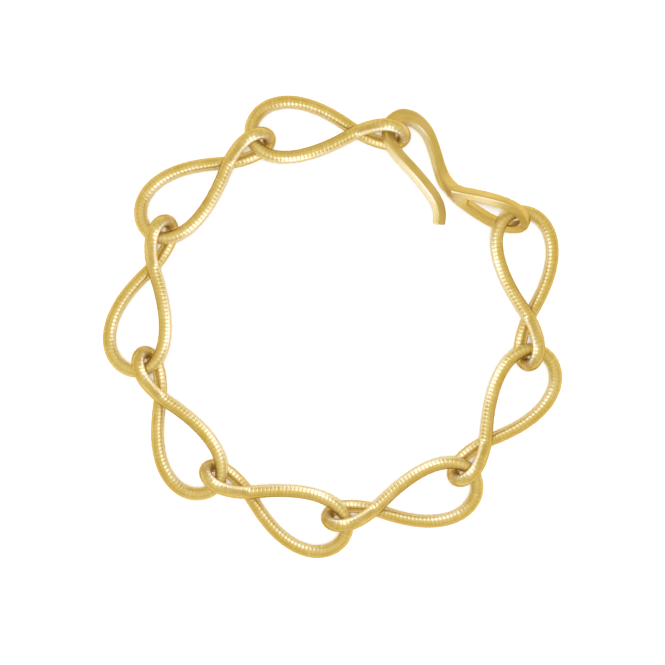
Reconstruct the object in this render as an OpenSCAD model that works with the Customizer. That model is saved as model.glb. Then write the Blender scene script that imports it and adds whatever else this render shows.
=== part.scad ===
// Link bracelet lying closed on a table: eight figure-eight links of round wire and a hook clasp.
// Units are millimetres, +Z is up and the bracelet lies on z = 0.
// The small loop of each link goes round the big end of the link before it.

/* [Ring] */
// Radius of the circle on which the links cross themselves
ring_radius = 28.85; // [20:0.05:45]
// Turn about the ring from one link to the next, in degrees
link_step = 39.5; // [20:0.1:60]
// Bearing of the first link's crossing from the ring's centre, in degrees
first_bearing = 84.2; // [0:0.1:180]
// Angle from a link's bearing to the way its big loop points, in degrees
link_heading = 92.7; // [80:0.1:100]

/* [Link] */
// Diameter of the links' wire
wire = 1.9; // [1:0.05:3]
// From the crossing to the wire's middle at the end of the big loop
big_length = 16; // [8:0.1:30]
// Half of the big loop's width as seen from above, between wire middles
big_half_wide = 4.25; // [2:0.05:8]
// From the crossing to the wire's middle at the end of the small loop
small_length = 7.3; // [4:0.1:15]
// Half of the small loop's width as seen from above, between wire middles
small_half_wide = 1.35; // [1:0.05:4]
// Height of the big loop's high side above the link's axis, the same below it for the low side
big_half_high = 0.85; // [0.5:0.05:4]
// The same height for the small loop, which stands up more steeply
small_half_high = 2.45; // [1:0.05:4]
// Height of the upper strand above the link's axis where the strands cross
cross_rise = 1; // [0.5:0.05:2]
// How far the ends of a link curve in towards the ring's centre
link_bow = 0.55; // [0:0.05:2]
// A link sags to its crossing: how steeply its axis climbs from there to the end of the big loop
big_climb = 0.085; // [0:0.005:0.5]
// How far it rises from the crossing into the small loop
small_rise = 2; // [0:0.05:4]

/* [Clasp] */
// Side of the clasp's squared wire
clasp_wire = 1.5; // [1:0.05:3]
// Share of the side that each cut corner takes
clasp_corner = 0.12; // [0.05:0.01:0.4]
// From the clasp's neck to the wire's middle at the end of its eye
eye_length = 12.7; // [8:0.1:20]
// Half of the eye's width as seen from above, between wire middles
eye_half_wide = 1.45; // [1:0.05:4]
// Way that the eye points, in degrees from +X
eye_heading = -23.3; // [-60:0.1:20]

/* [Hidden] */
// Sides of the links' wire, and rings along a link
wire_sides = 6;
link_rings = 72;
// The many-sided wire has the area of the round wire
wire_radius = wire / 2 * sqrt(2 * PI / (wire_sides * sin(360 / wire_sides)));
// Where the ring's centre lies from the middle of the bracelet's outline
ring_centre = [0.59, 0.68];
// How each link lies off the even ring
link_rows = [
    // further round in degrees, further out, turned in degrees
    [-0.3, 0, 1.2],
    [0.4, 0.15, 0.1],
    [0, 0, 0.6],
    [0.4, -0.05, -0.6],
    [0.4, 0.05, -1.2],
    [-0.2, -0.05, 0.1],
    [0.1, -0.05, 0.7],
    [0.8, 0.15, -1]
];
// Steps along a loop before its path is divided evenly
loop_steps = 60;
// Times that neighbouring points are averaged, which rounds the wire where it crosses itself
soften_passes = 3;
// The bow grows from here along the link, and is full at this distance
bow_middle = (big_length - small_length) / 2;
bow_reach = (big_length + small_length) / 2;
// The sag is rounded over this distance from the crossing
sag_reach = 2.5;
// Where along the link its wire starts to turn over into the small loop's plane, and over what length
turnover_start = 4;
turnover_length = 8;

// The hook's wire from its free end to the neck, from the ring's centre and the table
hook_rows = [
    // x, y, z, width across the bend
    [15.35, 14.65, 3.8, 1],
    [15.45, 16.4, 3.9, 1.05],
    [14.85, 18.3, 4.0, 1.05],
    [13.25, 20.6, 4.1, 1.05],
    [11.0, 23.2, 4.2, 1.05],
    [9.1, 25.3, 4.1, 1.05],
    [7.9, 27.5, 3.8, 1.1],
    [8.1, 29.7, 3.3, 1.35],
    [9.5, 30.75, 2.8, 1.5],
    [11.15, 30.65, 2.3, 1.45],
    [12.65, 29.75, 1.9, 1.25],
    [13.9, 28.1, 1.6, 1.1],
    [14.85, 25.5, 1.6, 1.05],
    [15.55, 23.1, 1.9, 1.1],
    [16.35, 21.15, 2.7, 1.3],
    [17.6, 19.75, 3.7, 1.25]
];
// The eye starts at the neck, where its lower strand is soldered to the hook's wire
neck = [16.5, 19.9, 3.5];
// Height of the eye's high and low sides from the neck's height
eye_half_high = 2.8;
// The sides part in height later than in width, by this power of the width
eye_rise = 1.5;
// The eye opens more slowly from the neck than a link's loop, whose power is 1
eye_power = 1.2;
// Way that the eye's wire faces, in degrees from straight up
eye_tilt = 44;
// The eye's middle bows in this far towards the ring's centre
eye_bow = 0.1;
// The eye climbs this much from the neck to its end, in degrees
eye_pitch = 4.5;
// Share of the way from the eye's far end to the neck at which the hook's wire runs on into the
// eye's high side, and at which it ends on the low side, inside the filling
eye_start = 0.9;
eye_face = [sin(eye_heading) * sin(eye_tilt), -cos(eye_heading) * sin(eye_tilt), cos(eye_tilt)];
// The filling between the eye's strands, next to the neck
web_rows = [
    // along the eye from the neck, reach past the low side's middle, share of the wire's thickness
    [0, 0.2, 0.5],
    [0.5, 0.55, 0.8],
    [1.3, 0.65, 0.97],
    [2.4, 0.75, 0.97],
    [3.7, 0.75, 0.8]
];
// Rings between two rows of a table, and along the eye
rings_per_row = 4;
eye_rings = 40;
// Rings over which the wire turns from the hook's plane to the eye's
turn_rings = 8;
// The hook's wire is squared to its own plane, which faces this way
hook_up = [0.48, 0.32, 0.85];

gold = [0.84, 0.72, 0.42];

// Distances along a path from its first point to each point
function path_marks(path) =
    let (last = len(path) - 1)
    [
        for (i = 0, s = 0; i <= last; s = s + (i < last ? norm(path[i + 1] - path[i]) : 0), i = i + 1)
            s
    ];

// Points at even steps along a path, as many as count says, without its last point
function even_path(path, count) =
    let (marks = path_marks(path))
    let (last = len(path) - 1)
    let (tables = [for (axis = [0:len(path[0]) - 1]) [for (i = [0:last]) [marks[i], path[i][axis]]]])
    [for (k = [0:count - 1]) [for (table = tables) lookup(marks[last] * k / count, table)]];

// A closed path with each point averaged with its neighbours
function soften(path, passes) =
    passes == 0 ? path :
    let (count = len(path))
    soften([
        for (i = [0:count - 1])
            path[i] / 2 + (path[(i + count - 1) % count] + path[(i + 1) % count]) / 4
    ], passes - 1);

// Point of a teardrop loop that starts and ends at a crossing: e is 1 where the upper strand
// leaves the crossing, 0 at the loop's far end and -1 where the lower strand is back
function loop_point(e, length, half_wide, high, rise, power = 1) =
    let (share = 1 - e * e)
    let (widest = 1 / sqrt(1 + 2 * power))
    let (peak = widest * pow(1 - widest * widest, power))
    let (swell = e * pow(share, power) / peak)
    [length * share, half_wide * swell, sign(e) * norm([high * swell, rise * e])];

// The middle of a link's wire, with +X along the link and +Y towards the ring's centre
big_loop = [
    for (i = [0:loop_steps])
        loop_point(1 - 2 * i / loop_steps, big_length, big_half_wide, big_half_high, cross_rise)
];
small_loop = [
    for (i = [1:loop_steps])
        loop_point(2 * i / loop_steps - 1, -small_length, -small_half_wide, small_half_high, cross_rise)
];
// Height of the link's axis above the crossing
function axis_rise(along) =
    let (away = norm([along, sag_reach]))
    along > 0 ? big_climb * (away - sag_reach) : small_rise * pow(along / away, 2);

link_path = [
    for (p = soften(even_path(concat(big_loop, small_loop), link_rings), soften_passes))
        let (bow = link_bow * pow((p.x - bow_middle) / bow_reach, 2))
        p + [0, bow, axis_rise(p.x)]
];

// The wire's up side, which turns over from the big loop's plane to the small one's
function link_up(along) =
    let (share = max(0, min(1, (turnover_start - along) / turnover_length)))
    let (eased = share * share * (3 - 2 * share))
    let (big_tilt = 180 - atan2(big_half_wide, big_half_high))
    let (small_tilt = atan2(small_half_wide, small_half_high))
    let (tilt = big_tilt + (small_tilt - big_tilt) * eased)
    [0, cos(tilt), sin(tilt)];

function direction(from, to) = (to - from) / norm(to - from);

// A wire's section: its outline's points go along the two axes across the wire
function section(middle, ahead, face, outline, half_face, half_side) =
    let (side = cross(ahead, face) / norm(cross(ahead, face)))
    let (front = cross(side, ahead))
    [for (corner = outline) middle + corner[0] * half_face * front + corner[1] * half_side * side];

round_outline = [
    for (k = [0:wire_sides - 1])
        let (turn = 360 * (k + 0.5) / wire_sides)
        [cos(turn), sin(turn)]
];
flat_end = 1 - 2 * clasp_corner;
squared_outline = [
    [1, -flat_end], [1, flat_end], [flat_end, 1], [-flat_end, 1],
    [-1, flat_end], [-1, -flat_end], [-flat_end, -1], [flat_end, -1]
];

link_sections = [
    for (i = [0:link_rings - 1])
        let (before = link_path[(i + link_rings - 1) % link_rings])
        let (after = link_path[(i + 1) % link_rings])
        let (up = link_up(link_path[i].x))
        section(link_path[i], direction(before, after), up, round_outline, wire_radius, wire_radius)
];
// The link's axis lies this far above the table
axis_height = -min([for (ring = link_sections) min([for (p = ring) p.z])]);

// Point between two rows of a table, on a smooth curve through all rows
function row_between(rows, i, t) =
    let (last = len(rows) - 1)
    let (a = rows[max(i - 1, 0)])
    let (b = rows[i])
    let (c = rows[min(i + 1, last)])
    let (d = rows[min(i + 2, last)])
    b + ((c - a) * t + (2 * a - 5 * b + 4 * c - d) * t * t + (3 * b - a - 3 * c + d) * t * t * t) / 2;

function even_rows(rows) = [
    for (i = [0:len(rows) - 2], k = [0:rings_per_row - 1])
        row_between(rows, i, k / rings_per_row),
    rows[len(rows) - 1]
];

// A point of the eye's wire, where e is as for loop_point
function eye_point(e) =
    let (p = loop_point(e, eye_length, eye_half_wide, 0, 0, eye_power))
    let (high = sign(e) * eye_half_high * pow(abs(p.y) / eye_half_wide, eye_rise))
    let (out = p.y - eye_bow * (1 - pow(2 * p.x / eye_length - 1, 2)))
    [
        neck.x + p.x * cos(eye_heading) - out * sin(eye_heading),
        neck.y + p.x * sin(eye_heading) + out * cos(eye_heading),
        neck.z + high + p.x * tan(eye_pitch)
    ];
// The eye's wire from where the hook's runs on into it, round and back to the filling
eye_path = [
    for (k = [0:eye_rings])
        [each eye_point(eye_start - 2 * eye_start * k / eye_rings), 1]
];
hook_path = even_rows(hook_rows);
clasp_path = concat(hook_path, eye_path);

function spot(row) = [row[0], row[1], row[2]];

function clasp_section(i) =
    let (before = spot(clasp_path[max(i - 1, 0)]))
    let (after = spot(clasp_path[min(i + 1, len(clasp_path) - 1)]))
    let (ahead = direction(before, after))
    let (turned = max(0, min(1, (i + 1 - len(hook_path) + turn_rings / 2) / turn_rings)))
    let (hook_face = cross(ahead, hook_up))
    let (face = hook_face / norm(hook_face) * (1 - turned) + eye_face * turned)
    let (half = clasp_wire / 2)
    section(spot(clasp_path[i]), ahead, face, squared_outline, half * clasp_path[i][3], half);

// Section of the filling, from the middle of the eye's high side to the reach past its low side
function web_section(row) =
    let (e = sqrt(1 - row[0] / eye_length))
    let (ahead = [cos(eye_heading), sin(eye_heading), tan(eye_pitch)])
    let (high = eye_point(e))
    let (low = eye_point(-e) + row[1] * cross(ahead, eye_face) / norm(cross(ahead, eye_face)))
    let (face = cross(low - high, ahead))
    section((high + low) / 2, ahead, face, squared_outline, clasp_wire / 2 * row[2], norm(low - high) / 2);

// Triangles between each ring and the next, where the last ring may join the first
function side_faces(bands, sides, total) = [
    for (band = [0:bands - 1], k = [0:sides - 1])
        let (a = band * sides + k)
        let (b = band * sides + (k + 1) % sides)
        let (c = (a + sides) % total)
        let (d = (b + sides) % total)
        each [[a, d, b], [a, c, d]]
];

module closed_wire(sections) {
    sides = len(sections[0]);
    total = len(sections) * sides;
    polyhedron(points = [for (ring = sections) each ring], faces = side_faces(len(sections), sides, total));
}

module open_wire(sections) {
    sides = len(sections[0]);
    total = len(sections) * sides;
    start_cap = [for (k = [0:sides - 1]) k];
    end_cap = [for (k = [1:sides]) total - k];
    polyhedron(
        points = [for (ring = sections) each ring],
        faces = concat(side_faces(len(sections) - 1, sides, total), [start_cap, end_cap])
    );
}

module link(number) {
    row = link_rows[number - 1];
    color(gold)
        translate([ring_centre.x, ring_centre.y, axis_height])
            rotate(first_bearing + (number - 1) * link_step + row[0])
                translate([ring_radius + row[1], 0, 0])
                    rotate(link_heading + row[2]) closed_wire(link_sections);
}

module hook_clasp() {
    color(gold)
        translate([ring_centre.x, ring_centre.y, 0]) {
            open_wire([for (i = [0:len(clasp_path) - 1]) clasp_section(i)]);
            open_wire([for (row = even_rows(web_rows)) web_section(row)]);
        }
}

link(1);  // link_1
link(2);  // link_2
link(3);  // link_3
link(4);  // link_4
link(5);  // link_5
link(6);  // link_6
link(7);  // link_7
link(8);  // link_8
hook_clasp();
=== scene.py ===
import math

import bmesh
import bpy
from mathutils import Matrix, Vector
from mathutils.kdtree import KDTree


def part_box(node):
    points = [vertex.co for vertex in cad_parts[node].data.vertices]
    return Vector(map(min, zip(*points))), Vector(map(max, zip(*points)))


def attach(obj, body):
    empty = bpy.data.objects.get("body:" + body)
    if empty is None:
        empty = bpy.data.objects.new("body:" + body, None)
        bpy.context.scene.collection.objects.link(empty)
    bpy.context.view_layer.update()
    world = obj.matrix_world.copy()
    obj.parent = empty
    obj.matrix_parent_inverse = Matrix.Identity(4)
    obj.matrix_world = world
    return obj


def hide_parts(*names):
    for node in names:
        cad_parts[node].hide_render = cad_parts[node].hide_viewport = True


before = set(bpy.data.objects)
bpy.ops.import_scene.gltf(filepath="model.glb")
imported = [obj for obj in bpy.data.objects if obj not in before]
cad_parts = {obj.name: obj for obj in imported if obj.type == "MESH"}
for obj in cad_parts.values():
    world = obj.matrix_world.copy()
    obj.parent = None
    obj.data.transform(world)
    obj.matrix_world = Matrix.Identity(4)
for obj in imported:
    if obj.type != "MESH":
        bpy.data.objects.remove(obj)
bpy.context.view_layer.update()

mm = 0.001


# Small helpers for working as by hand

def deselectAll():
    if bpy.context.mode != "OBJECT":
        bpy.ops.object.mode_set(mode="OBJECT")
    bpy.ops.object.select_all(action="DESELECT")


def makeActive(piece):
    deselectAll()
    piece.select_set(True)
    bpy.context.view_layer.objects.active = piece


def applyModifiers(piece):
    makeActive(piece)
    for modifier in list(piece.modifiers):
        bpy.ops.object.modifier_apply(modifier=modifier.name)


def editAll(piece):
    makeActive(piece)
    bpy.ops.object.mode_set(mode="EDIT")
    bpy.ops.mesh.select_all(action="SELECT")


def leaveEdit():
    bpy.ops.object.mode_set(mode="OBJECT")


def removePiece(piece):
    deselectAll()
    piece.select_set(True)
    bpy.ops.object.delete()


# Paths, all in millimetres

ring = {
    "radius": 28.85,        # circle on which the links cross themselves
    "centre": (0.59, 0.68),
    "step": 39.5,           # degrees from link to link
    "firstBearing": 84.2,
    "heading": 92.7,        # degrees from a link's bearing to the way its big loop points
}

link = {
    "wire": 1.9,
    "bigLength": 16, "bigHalfWide": 4.25, "bigHalfHigh": 0.85,
    "smallLength": 7.3, "smallHalfWide": 1.35, "smallHalfHigh": 2.45,
    "crossRise": 1,         # each strand's height from the middle, where they cross
    "bow": 0.55,            # how far the link's two ends lean towards the ring's middle
    "bigClimb": 0.085, "smallRise": 2, "sagReach": 2.5,     # the link sags to its crossing
    "loopSteps": 60, "pathPoints": 72, "softenPasses": 3, "curveSteps": 8,
    "ribStep": 0.6, "ribHeight": 0.035, "ribBands": 10, "ribFullness": 0.2, "sides": 28,
    "ribWeld": 0.002, "endWeld": 0.02,
    # the small loop's low strand takes painted shade, set in over the first value in millimetres
    "lowFade": 2, "lowPaintedShade": -0.8,        # tint of the small loop's low strand
}

# Where each link lies off the even ring: degrees further round, millimetres further out,
# and degrees turned
linkRows = [
    (-0.3, 0, 1.2),
    (0.4, 0.15, 0.1),
    (0, 0, 0.6),
    (0.4, -0.05, -0.6),
    (0.4, 0.05, -1.2),
    (-0.2, -0.05, 0.1),
    (0.1, -0.05, 0.7),
    (0.8, 0.15, -1),
]


# A teardrop loop: e is 1 and -1 at its crossing, and 0 at its far end
def loopPoint(e, length, halfWide, halfHigh, rise, power=1):
    share = 1 - e * e
    widest = 1 / math.sqrt(1 + 2 * power)
    swell = e * share ** power / (widest * (1 - widest ** 2) ** power)
    height = math.copysign(math.hypot(halfHigh * swell, rise * e), e)
    return Vector((length * share, halfWide * swell, height))


def evenPath(points, count):
    marks = [0]
    for a, b in zip(points, points[1:]):
        marks.append(marks[-1] + (b - a).length)
    even = []
    index = 0
    for k in range(count):
        mark = marks[-1] * k / count
        while marks[index + 1] < mark:
            index += 1
        share = (mark - marks[index]) / (marks[index + 1] - marks[index])
        even.append(points[index].lerp(points[index + 1], share))
    return even


def softenPath(points, passes):
    for _ in range(passes):
        after = points[1:] + points[:1]
        points = [p / 2 + (points[i - 1] + after[i]) / 4 for i, p in enumerate(points)]
    return points


# How far the link's middle line has risen from its crossing
def axisRise(along):
    away = math.hypot(along, link["sagReach"])
    if along > 0:
        return link["bigClimb"] * (away - link["sagReach"])
    return link["smallRise"] * (along / away) ** 2


def linkPath():
    steps = link["loopSteps"]
    rise = link["crossRise"]
    bigSize = link["bigLength"], link["bigHalfWide"], link["bigHalfHigh"]
    smallSize = -link["smallLength"], -link["smallHalfWide"], link["smallHalfHigh"]
    big = [loopPoint(1 - 2 * i / steps, *bigSize, rise) for i in range(steps + 1)]
    small = [loopPoint(2 * i / steps - 1, *smallSize, rise) for i in range(1, steps + 1)]
    middle = (link["bigLength"] - link["smallLength"]) / 2
    reach = (link["bigLength"] + link["smallLength"]) / 2
    path = softenPath(evenPath(big + small, link["pathPoints"]), link["softenPasses"])
    return [p + Vector((0, link["bow"] * ((p.x - middle) / reach) ** 2, axisRise(p.x))) for p in path]


# Ribbed links: one rib, repeated along the wire and bent round the link's path

def makeRib(length):
    outer = link["wire"] / 2 * mm
    inner = outer - link["ribHeight"] * mm
    bands = link["ribBands"]
    nearby = length / 100
    deselectAll()
    bpy.ops.mesh.primitive_cylinder_add(
        vertices=link["sides"], radius=inner, depth=length, end_fill_type="NOTHING",
        location=(length / 2, 0, 0), rotation=(0, math.pi / 2, 0),
    )
    rib = bpy.context.object
    rib.name = "ribbed_wire"
    bpy.ops.object.transform_apply(location=True, rotation=True, scale=True)
    editAll(rib)
    bpy.ops.mesh.select_mode(type="EDGE")
    bpy.ops.mesh.select_all(action="DESELECT")
    work = bmesh.from_edit_mesh(rib.data)
    for edge in work.edges:
        edge.select = abs(edge.verts[0].co.x - edge.verts[1].co.x) > length / 2
    bmesh.update_edit_mesh(rib.data)
    bpy.ops.mesh.subdivide(number_cuts=bands - 1)
    bpy.ops.mesh.select_mode(type="VERT")
    for band in range(1, bands):
        share = band / bands
        swell = math.sin(math.pi * share) ** link["ribFullness"]
        bpy.ops.mesh.select_all(action="DESELECT")
        work = bmesh.from_edit_mesh(rib.data)
        for vert in work.verts:
            vert.select = abs(vert.co.x - share * length) < nearby
        work.select_flush_mode()
        bmesh.update_edit_mesh(rib.data)
        size = 1 + (outer / inner - 1) * swell
        bpy.ops.transform.resize(value=(1, size, size))
    leaveEdit()
    crest = rib.data.attributes.new("crest", "FLOAT", "POINT")      # 0 in the groove, 1 on the rib
    for vert in rib.data.vertices:
        crest.data[vert.index].value = (math.hypot(vert.co.y, vert.co.z) - inner) / (outer - inner)
    return rib


def makePathCurve(points):
    deselectAll()
    bpy.ops.curve.primitive_bezier_circle_add()
    curve = bpy.context.object
    spline = curve.data.splines[0]
    spline.bezier_points.add(len(points) - len(spline.bezier_points))
    for knot, point in zip(spline.bezier_points, points):
        knot.co = point * mm
        knot.handle_left_type = knot.handle_right_type = "AUTO"
    curve.data.dimensions = "3D"
    curve.data.resolution_u = link["curveSteps"]
    curve.data.twist_mode = "MINIMUM"
    bpy.context.view_layer.update()
    return curve, spline.calc_length()


def makeRibbedLink():
    path, length = makePathCurve(linkPath())
    ribs = round(length / (link["ribStep"] * mm))
    wire = makeRib(length / ribs)
    repeat = wire.modifiers.new("repeat", "ARRAY")
    repeat.count = ribs
    repeat.use_relative_offset = False
    repeat.use_constant_offset = True
    repeat.constant_offset_displace = (length / ribs, 0, 0)
    repeat.use_merge_vertices = True
    repeat.merge_threshold = link["ribWeld"] * mm
    bend = wire.modifiers.new("bend", "CURVE")
    bend.object = path
    bend.deform_axis = "POS_X"
    applyModifiers(wire)
    removePiece(path)
    editAll(wire)
    bpy.ops.mesh.remove_doubles(threshold=link["endWeld"] * mm)
    bpy.ops.mesh.normals_make_consistent(inside=False)
    leaveEdit()
    bpy.ops.object.shade_smooth()
    markPaintedLightSide(wire)
    print("link wire", round(length / mm, 2), "mm,", ribs, "ribs,", len(wire.data.polygons), "faces")
    return wire


# How far each point of a link faces the ring's middle, which sets painted highlight on the side
# facing it and painted shade on the side turned away. The small loop's low strand counts as turned
# away from it and takes painted shade, since the photograph shows that strand in a deeper gold.
def markPaintedLightSide(wire):
    inside = wire.data.attributes.new("inside", "FLOAT", "POINT")
    for vert in wire.data.vertices:
        x, _, z = vert.co / mm
        low = min(1, max(0, -x / link["lowFade"])) if z < axisRise(x) else 0
        # facing the ring's middle gives painted highlight, facing away gives painted shade
        inside.data[vert.index].value = vert.normal.y * (1 - low) + link["lowPaintedShade"] * low


def turnAbout(degrees):
    return Matrix.Rotation(math.radians(degrees), 4, "Z")


def placeLinks(pattern, finish):
    low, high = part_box("link_1")
    heights = [vert.co.z for vert in pattern.data.vertices]
    lift = (low[2] + high[2]) / 2 - (min(heights) + max(heights)) / 2
    centre = Vector((ring["centre"][0] * mm, ring["centre"][1] * mm, lift))
    for index, (further, out, turned) in enumerate(linkRows):
        makeActive(pattern)
        bpy.ops.object.duplicate()
        piece = bpy.context.object
        piece.name = "ribbed_link_%d" % (index + 1)
        piece.matrix_world = (
            Matrix.Translation(centre)
            @ turnAbout(ring["firstBearing"] + index * ring["step"] + further)
            @ Matrix.Translation(((ring["radius"] + out) * mm, 0, 0))
            @ turnAbout(ring["heading"] + turned)
        )
        bpy.ops.object.transform_apply(location=True, rotation=True, scale=True)
        piece.data.materials.clear()
        piece.data.materials.append(finish)
        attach(piece, "root")
        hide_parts("link_%d" % (index + 1))
    removePiece(pattern)


# Hook clasp: a squared bar drawn out along the hook and round the eye, with the eye's root filled in

clasp = {
    "wire": 1.5,
    "squareness": 8,        # power of the section's rounded square
    "sides": 32,
    "eyeLength": 12.7, "eyeHalfWide": 1.45, "eyeHalfHigh": 2.8, "eyeBow": 0.1,
    "eyePower": 1.2,        # higher is widest further from the neck
    "eyeRise": 1.5,         # higher keeps the strands level for longer as they part
    "eyeStart": 0.9,        # where the bar joins the eye's loop, whose crossing is at 1
    "eyeHeading": -23.3, "eyePitch": 4.5, "eyeTilt": 44,    # degrees
    "neck": (16.5, 19.9, 3.5),
    "hookUp": (0.48, 0.32, 0.85),       # the way the hook's top flat faces
    "ringsPerRow": 8, "eyeRings": 80, "turnRings": 16,
    "voxel": 0.08, "smoothFactor": 0.5, "smoothPasses": 11,
}

# The hook from its tip to its neck: x, y, z, and width across the bend as a share of the wire
hookRows = [
    (15.35, 14.65, 3.8, 1),
    (15.45, 16.4, 3.9, 1.05),
    (14.85, 18.3, 4.0, 1.05),
    (13.25, 20.6, 4.1, 1.05),
    (11.0, 23.2, 4.2, 1.05),
    (9.1, 25.3, 4.1, 1.05),
    (7.9, 27.5, 3.8, 1.1),
    (8.1, 29.7, 3.3, 1.35),
    (9.5, 30.75, 2.8, 1.5),
    (11.15, 30.65, 2.3, 1.45),
    (12.65, 29.75, 1.9, 1.25),
    (13.9, 28.1, 1.6, 1.1),
    (14.85, 25.5, 1.6, 1.05),
    (15.55, 23.1, 1.9, 1.1),
    (16.35, 21.15, 2.7, 1.3),
    (17.6, 19.75, 3.7, 1.25),
]

# The filling: how far along the eye from its neck, how far past the middle of its low strand,
# and thickness as a share of the wire's
webRows = [
    (0, 0.2, 0.5),
    (0.5, 0.55, 0.8),
    (1.3, 0.65, 0.97),
    (2.4, 0.75, 0.97),
    (3.7, 0.75, 0.8),
]


# A smooth curve through the rows, from row i at t = 0 to the next at t = 1
def rowBetween(rows, i, t):
    a, b, c, d = (Vector(rows[min(max(k, 0), len(rows) - 1)]) for k in (i - 1, i, i + 1, i + 2))
    square = (2 * a - 5 * b + 4 * c - d) * t ** 2
    cube = (3 * b - a - 3 * c + d) * t ** 3
    return b + ((c - a) * t + square + cube) / 2


def evenRows(rows):
    steps = clasp["ringsPerRow"]
    even = [rowBetween(rows, i, k / steps) for i in range(len(rows) - 1) for k in range(steps)]
    return even + [Vector(rows[-1])]


def eyePoint(e):
    p = loopPoint(e, clasp["eyeLength"], clasp["eyeHalfWide"], 0, 0, clasp["eyePower"])
    opened = abs(p.y) / clasp["eyeHalfWide"]
    bow = clasp["eyeBow"] * (1 - (2 * p.x / clasp["eyeLength"] - 1) ** 2)
    climb = p.x * math.tan(math.radians(clasp["eyePitch"]))
    height = math.copysign(clasp["eyeHalfHigh"] * opened ** clasp["eyeRise"], e) + climb
    return Vector(clasp["neck"]) + turnAbout(clasp["eyeHeading"]) @ Vector((p.x, p.y - bow, height))


# The clasp's middle line with its widths, and the ring at which the hook ends and the eye begins
def claspPath():
    hook = evenRows(hookRows)
    eye = [
        Vector((*eyePoint(clasp["eyeStart"] * (1 - 2 * k / clasp["eyeRings"])), 1))
        for k in range(clasp["eyeRings"] + 1)
    ]
    return hook + eye, len(hook) - 1


def frameAt(middle, ahead, front, side):
    place = (middle + Vector((*ring["centre"], 0))) * mm
    return Matrix.Translation(place) @ Matrix((ahead, front, side)).transposed().to_4x4()


def eyeFrame():
    turn = turnAbout(clasp["eyeHeading"])
    tilt = math.radians(clasp["eyeTilt"])
    climb = math.tan(math.radians(clasp["eyePitch"]))
    ahead = (turn @ Vector((1, 0, climb))).normalized()
    face = turn @ Vector((0, -math.sin(tilt), math.cos(tilt)))
    return ahead, face


def webFrames():
    ahead, face = eyeFrame()
    frames = []
    for along, reach, thickness in evenRows(webRows):
        e = math.sqrt(1 - along / clasp["eyeLength"])
        high, low = eyePoint(e), eyePoint(-e)
        low += ahead.cross(face) * reach
        front = (low - high).cross(ahead).normalized()
        side = ahead.cross(front) * (low - high).length / clasp["wire"]
        frames.append(frameAt((high + low) / 2, ahead, front * thickness, side))
    return frames


# The bar turns over at the neck, from the way the hook faces to the way the eye does
def claspFrames():
    path, turned = claspPath()
    _, eyeFace = eyeFrame()
    hookUp = Vector(clasp["hookUp"])
    frames = []
    for i, row in enumerate(path):
        before = path[max(i - 1, 0)].to_3d()
        after = path[min(i + 1, len(path) - 1)].to_3d()
        ahead = (after - before).normalized()
        share = max(0, min(1, (i - turned + clasp["turnRings"] / 2) / clasp["turnRings"]))
        face = ahead.cross(hookUp).normalized() * (1 - share) + eyeFace * share
        side = ahead.cross(face).normalized()
        front = side.cross(ahead) * row[3]
        frames.append(frameAt(row.to_3d(), ahead, front, side))
    return frames


# A rounded square, drawn out from frame to frame
def drawBar(frames, name):
    deselectAll()
    bpy.ops.mesh.primitive_circle_add(
        vertices=clasp["sides"], radius=clasp["wire"] / 2 * mm, fill_type="NGON",
        rotation=(0, math.pi / 2, 0),
    )
    bar = bpy.context.object
    bar.name = name
    bpy.ops.object.transform_apply(location=True, rotation=True, scale=True)
    editAll(bar)
    work = bmesh.from_edit_mesh(bar.data)
    power = clasp["squareness"]
    for vert in work.verts:
        y, z = vert.co.yz.normalized()
        vert.co *= (abs(y) ** power + abs(z) ** power) ** (-1 / power)
        vert.co = frames[0] @ vert.co
    bmesh.update_edit_mesh(bar.data)
    for before, after in zip(frames, frames[1:]):
        bpy.ops.mesh.extrude_region_move()
        work = bmesh.from_edit_mesh(bar.data)
        step = after @ before.inverted()
        for vert in work.verts:
            if vert.select:
                vert.co = step @ vert.co
    bpy.ops.mesh.select_all(action="SELECT")
    bpy.ops.mesh.normals_make_consistent(inside=False)
    leaveEdit()
    return bar


def makeClasp(finish):
    frames = claspFrames()
    bar = drawBar(frames, "brushed_clasp")
    web = drawBar(webFrames(), "web")
    deselectAll()
    web.select_set(True)
    bar.select_set(True)
    bpy.context.view_layer.objects.active = bar
    bpy.ops.object.join()
    fuse = bar.modifiers.new("fuse", "REMESH")
    fuse.mode = "VOXEL"
    fuse.voxel_size = clasp["voxel"] * mm
    smooth = bar.modifiers.new("smooth", "SMOOTH")
    smooth.factor = clasp["smoothFactor"]
    smooth.iterations = clasp["smoothPasses"]
    applyModifiers(bar)
    bpy.ops.object.shade_smooth()
    addGrainAndPaintedLightSide(bar, frames)
    bar.data.materials.clear()
    bar.data.materials.append(finish)
    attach(bar, "root")
    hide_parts("hook_clasp")
    print("clasp", len(bar.data.polygons), "faces")


# Each point of the clasp learns how far along the wire it lies, and where across it, in millimetres,
# and on the hook how far it faces the ring's middle, which sets painted highlight and painted shade
def addGrainAndPaintedLightSide(bar, frames):
    tree = KDTree(len(frames))
    marks = [0]
    for i, station in enumerate(frames):
        tree.insert(station.translation, i)
        if i:
            marks.append(marks[-1] + (station.translation - frames[i - 1].translation).length)
    tree.balance()
    bar.data.attributes.new("grain", "FLOAT_VECTOR", "POINT")
    bar.data.attributes.new("inside", "FLOAT", "POINT")
    grain = bar.data.attributes["grain"].data
    inside = bar.data.attributes["inside"].data
    _, turned = claspPath()
    for vert in bar.data.vertices:
        _, i, _ = tree.find(vert.co)
        local = frames[i].inverted() @ vert.co
        grain[vert.index].vector = Vector((marks[i] + local.x, local.y, local.z)) / mm
        inward = (Vector(ring["centre"]) * mm - vert.co.xy).normalized()
        hooked = min(1, max(0, (turned - i) / clasp["turnRings"]))
        # facing the ring's middle gives painted highlight, facing away gives painted shade
        inside[vert.index].value = vert.normal.xy.dot(inward) * hooked


# Materials

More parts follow.
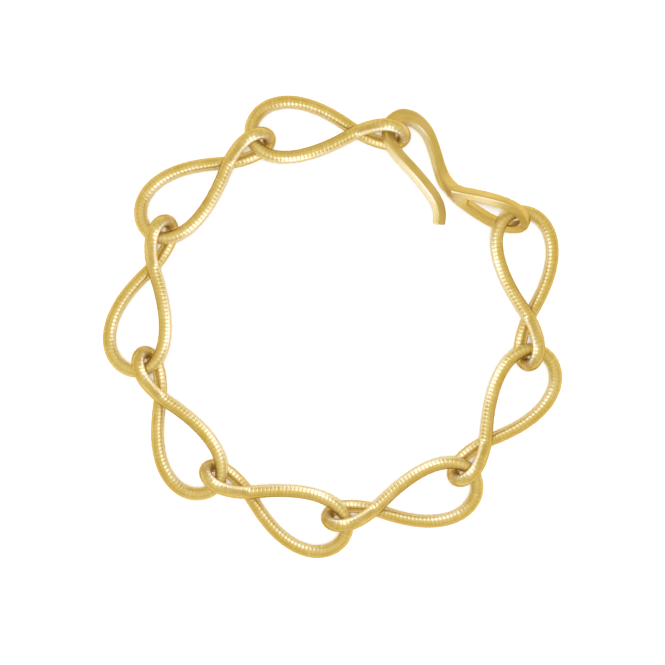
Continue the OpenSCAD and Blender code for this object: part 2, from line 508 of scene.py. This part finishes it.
# A node's output, on which a sum or product adds its Math node
class Signal:
    def __init__(self, nodes, socket):
        self.nodes = nodes
        self.socket = socket

    def compute(self, operation, *values):
        return self.nodes.add("ShaderNodeMath", {"operation": operation}, dict(enumerate(values)))

    def __add__(self, other):
        return self.compute("ADD", self, other)

    def __radd__(self, other):
        return self.compute("ADD", other, self)

    def __mul__(self, other):
        return self.compute("MULTIPLY", self, other)

    def __rmul__(self, other):
        return self.compute("MULTIPLY", other, self)

    def between(self, low, high):
        return self.nodes.add(
            "ShaderNodeMapRange", {"interpolation_type": "SMOOTHSTEP"},
            {"Value": self, "From Min": low, "From Max": high},
        )


class Nodes:
    def __init__(self, owner):
        owner.use_nodes = True
        self.tree = owner.node_tree
        self.tree.nodes.clear()

    def add(self, kind, settings=None, values=None, output=0):
        node = self.tree.nodes.new(kind)
        for name, value in (settings or {}).items():
            setattr(node, name, value)
        for key, value in (values or {}).items():
            socket = node.inputs[key]
            if isinstance(value, Signal):
                self.tree.links.new(value.socket, socket)
            else:
                socket.default_value = value
        return Signal(self, node.outputs[output]) if node.outputs else None

    def noise(self, vector, scale, detail, roughness):
        return self.add(
            "ShaderNodeTexNoise", {"noise_dimensions": "3D"},
            {"Vector": vector, "Scale": scale, "Detail": detail, "Roughness": roughness},
        )

    def stretch(self, vector, amounts):
        return self.add("ShaderNodeVectorMath", {"operation": "MULTIPLY"}, {0: vector, 1: amounts})

    # A mix of colours takes them by its inputs 6 and 7, and gives its result by output 2
    def mix(self, factor, first, second):
        return self.add("ShaderNodeMix", {"data_type": "RGBA"}, {0: factor, 6: first, 7: second}, 2)

    def attribute(self, name, output):
        return self.add("ShaderNodeAttribute", {"attribute_name": name}, output=output)

    def bump(self, height, distance, strength, normal=None):
        values = {"Height": height, "Distance": distance * mm, "Strength": strength}
        if normal:
            values["Normal"] = normal
        return self.add("ShaderNodeBump", None, values)

    def finish(self, values):
        shader = self.add("ShaderNodeBsdfPrincipled", None, values)
        self.add("ShaderNodeOutputMaterial", None, {"Surface": shader})


# A screen colour, each channel from 0 to 255, as the linear one that Blender mixes
def colour(*channels):
    linear = [((c / 255 + 0.055) / 1.055) ** 2.4 if c > 10 else c / 255 / 12.92 for c in channels]
    return (*linear, 1)


gold = {
    "light": colour(219, 193, 113),
    "body": colour(208, 179, 88),
    # darker gold: random darker tone and brushed lines, and painted shade in the rib grooves and on
    # the side turned from the ring's middle
    "deep": colour(192, 150, 62),
    # wear on the clasp's bands, and wear with painted sheen on the rib crests
    "wearAndPaintedSheen": colour(226, 203, 140),
    # painted highlight on the side facing the ring's middle
    "pale": colour(228, 212, 157),
    "rim": (0.62, 0.46, 0.28, 1),       # tint of the glancing reflection
    "metallic": 0.86,
    "patchRange": (0.35, 0.68),         # from body to light gold, by a noise
}


def finishGold(nodes, base, rough, relief):
    nodes.finish({
        "Base Color": base, "Metallic": gold["metallic"], "Roughness": rough,
        "Normal": relief, "Specular Tint": gold["rim"],
    })


# A noise has scale, detail and roughness, a range says from where to where something sets in,
# and a bump has depth in millimetres and strength
ribbedLook = {
    "patchNoise": (140, 3, 0.6), "cloudNoise": (900, 3, 0.65), "speckNoise": (6000, 2, 0.6),
    # the grooves between the ribs take painted shade
    "grooveRange": (0.7, 0), "groovePaintedShade": 0.28,
    "darkCloudRange": (0.6, 0.3), "darkCloudDeep": 0.15,
    # rib crests under random clouds take wear and a painted sheen
    "crestRange": (0.86, 1), "crestCloudRange": (0.45, 0.7), "crestWearAndPaintedSheen": 0.6,
    # painted highlight on the side facing the ring's middle, painted shade on the side turned away
    "innerRange": (0.35, 0.8), "innerPaintedHighlight": 0.5,
    "outerRange": (-0.3, -0.9), "outerPaintedShade": 0.35,
    "rough": 0.28, "roughCloudRange": (0.3, 0.75), "roughCloud": 0.08, "roughGroove": 0.14,
    "speckBump": (0.004, 0.5), "cloudBump": (0.012, 0.4),
}


def ribbedGold():
    look = ribbedLook
    material = bpy.data.materials.new("ribbed_gold")
    nodes = Nodes(material)
    place = nodes.add("ShaderNodeTexCoord", output="Object")
    crest = nodes.attribute("crest", "Fac")
    inside = nodes.attribute("inside", "Fac")
    patches = nodes.noise(place, *look["patchNoise"])
    cloud = nodes.noise(place, *look["cloudNoise"])
    specks = nodes.noise(place, *look["speckNoise"])
    groove = crest.between(*look["grooveRange"])
    dark = cloud.between(*look["darkCloudRange"]) * look["darkCloudDeep"]
    # rib crests under random clouds: wear and a painted sheen
    wearAndPaintedSheen = crest.between(*look["crestRange"]) * cloud.between(*look["crestCloudRange"])
    base = nodes.mix(patches.between(*gold["patchRange"]), gold["body"], gold["light"])
    # painted shade in the grooves, plus random darker clouds
    base = nodes.mix(groove * look["groovePaintedShade"] + dark, base, gold["deep"])
    # wear and painted sheen on the rib crests
    base = nodes.mix(wearAndPaintedSheen * look["crestWearAndPaintedSheen"], base, gold["wearAndPaintedSheen"])
    # painted highlight on the side facing the ring's middle, and painted shade on the side turned
    # away
    base = nodes.mix(inside.between(*look["innerRange"]) * look["innerPaintedHighlight"], base, gold["pale"])
    base = nodes.mix(inside.between(*look["outerRange"]) * look["outerPaintedShade"], base, gold["deep"])
    rough = look["rough"] + cloud.between(*look["roughCloudRange"]) * look["roughCloud"]
    rough = rough + groove * look["roughGroove"]
    relief = nodes.bump(specks, *look["speckBump"])
    relief = nodes.bump(cloud, *look["cloudBump"], relief)
    finishGold(nodes, base, rough, relief)
    return material


# The clasp's lines and bands are noises in millimetres, stretched along the wire
brushedLook = {
    "patchNoise": (160, 3, 0.6),
    "lineStretch": (0.25, 7, 7), "lineNoise": (1.6, 4, 0.7),
    "bandStretch": (0.12, 2.2, 2.2), "bandNoise": (1.3, 2, 0.5),
    "deep": 0.12, "lineRange": (0.55, 0.3), "lineDeep": 0.33,
    "bandRange": (0.55, 0.75), "bandWorn": 0.35,
    # painted highlight on the side facing the ring's middle, painted shade on the side turned away
    "innerRange": (0.3, 0.6), "innerPaintedHighlight": 0.85,
    "outerRange": (-0.5, -0.9), "outerPaintedShade": 0.3,
    "rough": 0.3, "roughLineRange": (0.3, 0.75), "roughLine": 0.12,
    "roughPatchRange": (0.4, 0.7), "roughPatch": 0.05,
    "lineBump": (0.01, 0.45),
}


def brushedGold():
    look = brushedLook
    material = bpy.data.materials.new("brushed_gold")
    nodes = Nodes(material)
    place = nodes.add("ShaderNodeTexCoord", output="Object")
    grain = nodes.attribute("grain", "Vector")
    inside = nodes.attribute("inside", "Fac")
    lines = nodes.noise(nodes.stretch(grain, look["lineStretch"]), *look["lineNoise"])
    bands = nodes.noise(nodes.stretch(grain, look["bandStretch"]), *look["bandNoise"])
    patches = nodes.noise(place, *look["patchNoise"])
    dark = look["deep"] + lines.between(*look["lineRange"]) * look["lineDeep"]
    base = nodes.mix(patches.between(*gold["patchRange"]), gold["body"], gold["light"])
    base = nodes.mix(dark, base, gold["deep"])
    base = nodes.mix(bands.between(*look["bandRange"]) * look["bandWorn"], base, gold["wearAndPaintedSheen"])
    # painted highlight on the side facing the ring's middle, and painted shade on the side turned
    # away
    base = nodes.mix(inside.between(*look["innerRange"]) * look["innerPaintedHighlight"], base, gold["pale"])
    base = nodes.mix(inside.between(*look["outerRange"]) * look["outerPaintedShade"], base, gold["deep"])
    rough = look["rough"] + lines.between(*look["roughLineRange"]) * look["roughLine"]
    rough = rough + patches.between(*look["roughPatchRange"]) * look["roughPatch"]
    relief = nodes.bump(lines, *look["lineBump"])
    finishGold(nodes, base, rough, relief)
    return material


# Stage, light and camera

stage = {
    "floorSize": 3,                 # metres
    "floorColour": colour(244, 244, 244), "floorRough": 0.9, "floorGloss": 0.1,
    "skyTop": (1.05, 1.05, 1.05, 1), "skyEdge": (0.82, 0.8, 0.78, 1), "skyStrength": 0.96,
    "skyRange": (0.55, 0.9),        # height at which the edge turns into the top
    "overheadPower": 1.9, "overheadSoftness": 12,       # the softness in degrees
    "lampColour": (0.52, 0.78, 2.7),        # bluish, so the gold mirrors it nearly white
    "cameraHeight": 0.6, "nearest": 0.01,       # metres
    "cameraLens": 216.5, "cameraSensor": 36,
    "aim": (0.005, -0.865, 3),      # millimetres
}

# Lamps above the ring's middle: height and radius in millimetres, glow
lampRows = [
    (3, 13, 40),
    (14, 10, 45),
    (24, 7.5, 65),
    (36, 9, 65),
    (52, 12, 65),
    (68, 15, 65),
]


def makeFloor():
    deselectAll()
    bpy.ops.mesh.primitive_plane_add(size=stage["floorSize"])
    floor = bpy.context.object
    floor.name = "floor"
    material = bpy.data.materials.new("pale_floor")
    nodes = Nodes(material)
    nodes.finish({
        "Base Color": stage["floorColour"], "Roughness": stage["floorRough"],
        "Specular IOR Level": stage["floorGloss"],
    })
    floor.data.materials.append(material)


def makeSky():
    world = bpy.data.worlds.new("soft_sky")
    bpy.context.scene.world = world
    nodes = Nodes(world)
    direction = nodes.add("ShaderNodeTexCoord", output="Generated")
    height = nodes.add("ShaderNodeSeparateXYZ", None, {"Vector": direction}, "Z")
    sky = nodes.mix(height.between(*stage["skyRange"]), stage["skyEdge"], stage["skyTop"])
    shader = nodes.add("ShaderNodeBackground", None, {"Color": sky, "Strength": stage["skyStrength"]})
    nodes.add("ShaderNodeOutputWorld", None, {"Surface": shader})


def makeOverhead():
    deselectAll()
    bpy.ops.object.light_add(type="SUN", location=(0, 0, 1))
    light = bpy.context.object
    light.name = "overhead"
    light.data.energy = stage["overheadPower"]
    light.data.angle = math.radians(stage["overheadSoftness"])
    light.visible_glossy = False        # it lights the floor, and isn't mirrored in the metal


# A lamp's power goes with its area, so glow is how bright its surface looks
def makeLamp(height, radius, glow):
    deselectAll()
    bpy.ops.object.light_add(
        type="POINT", location=(ring["centre"][0] * mm, ring["centre"][1] * mm, height * mm)
    )
    lamp = bpy.context.object
    lamp.name = "middle_lamp"
    lamp.data.energy = glow * (radius * mm) ** 2
    lamp.data.shadow_soft_size = radius * mm
    lamp.data.color = stage["lampColour"]
    lamp.visible_camera = False
    lamp.visible_diffuse = False        # it is mirrored in the metal, and leaves the floor white


def makeCamera():
    deselectAll()
    aim = Vector(stage["aim"]) * mm
    bpy.ops.object.camera_add(
        location=(aim.x, aim.y, aim.z + stage["cameraHeight"]), rotation=(0, 0, 0)
    )
    camera = bpy.context.object
    camera.name = "camera"
    camera.data.lens = stage["cameraLens"]
    camera.data.sensor_width = stage["cameraSensor"]
    camera.data.clip_start = stage["nearest"]
    bpy.context.scene.camera = camera


bpy.context.scene.view_settings.view_transform = "Standard"
makeFloor()
makeSky()
makeOverhead()
makeCamera()
print("stage set")

placeLinks(makeRibbedLink(), ribbedGold())
print("links placed")

makeClasp(brushedGold())
print("clasp placed")

for row in lampRows:
    makeLamp(*row)
print("lamps placed")
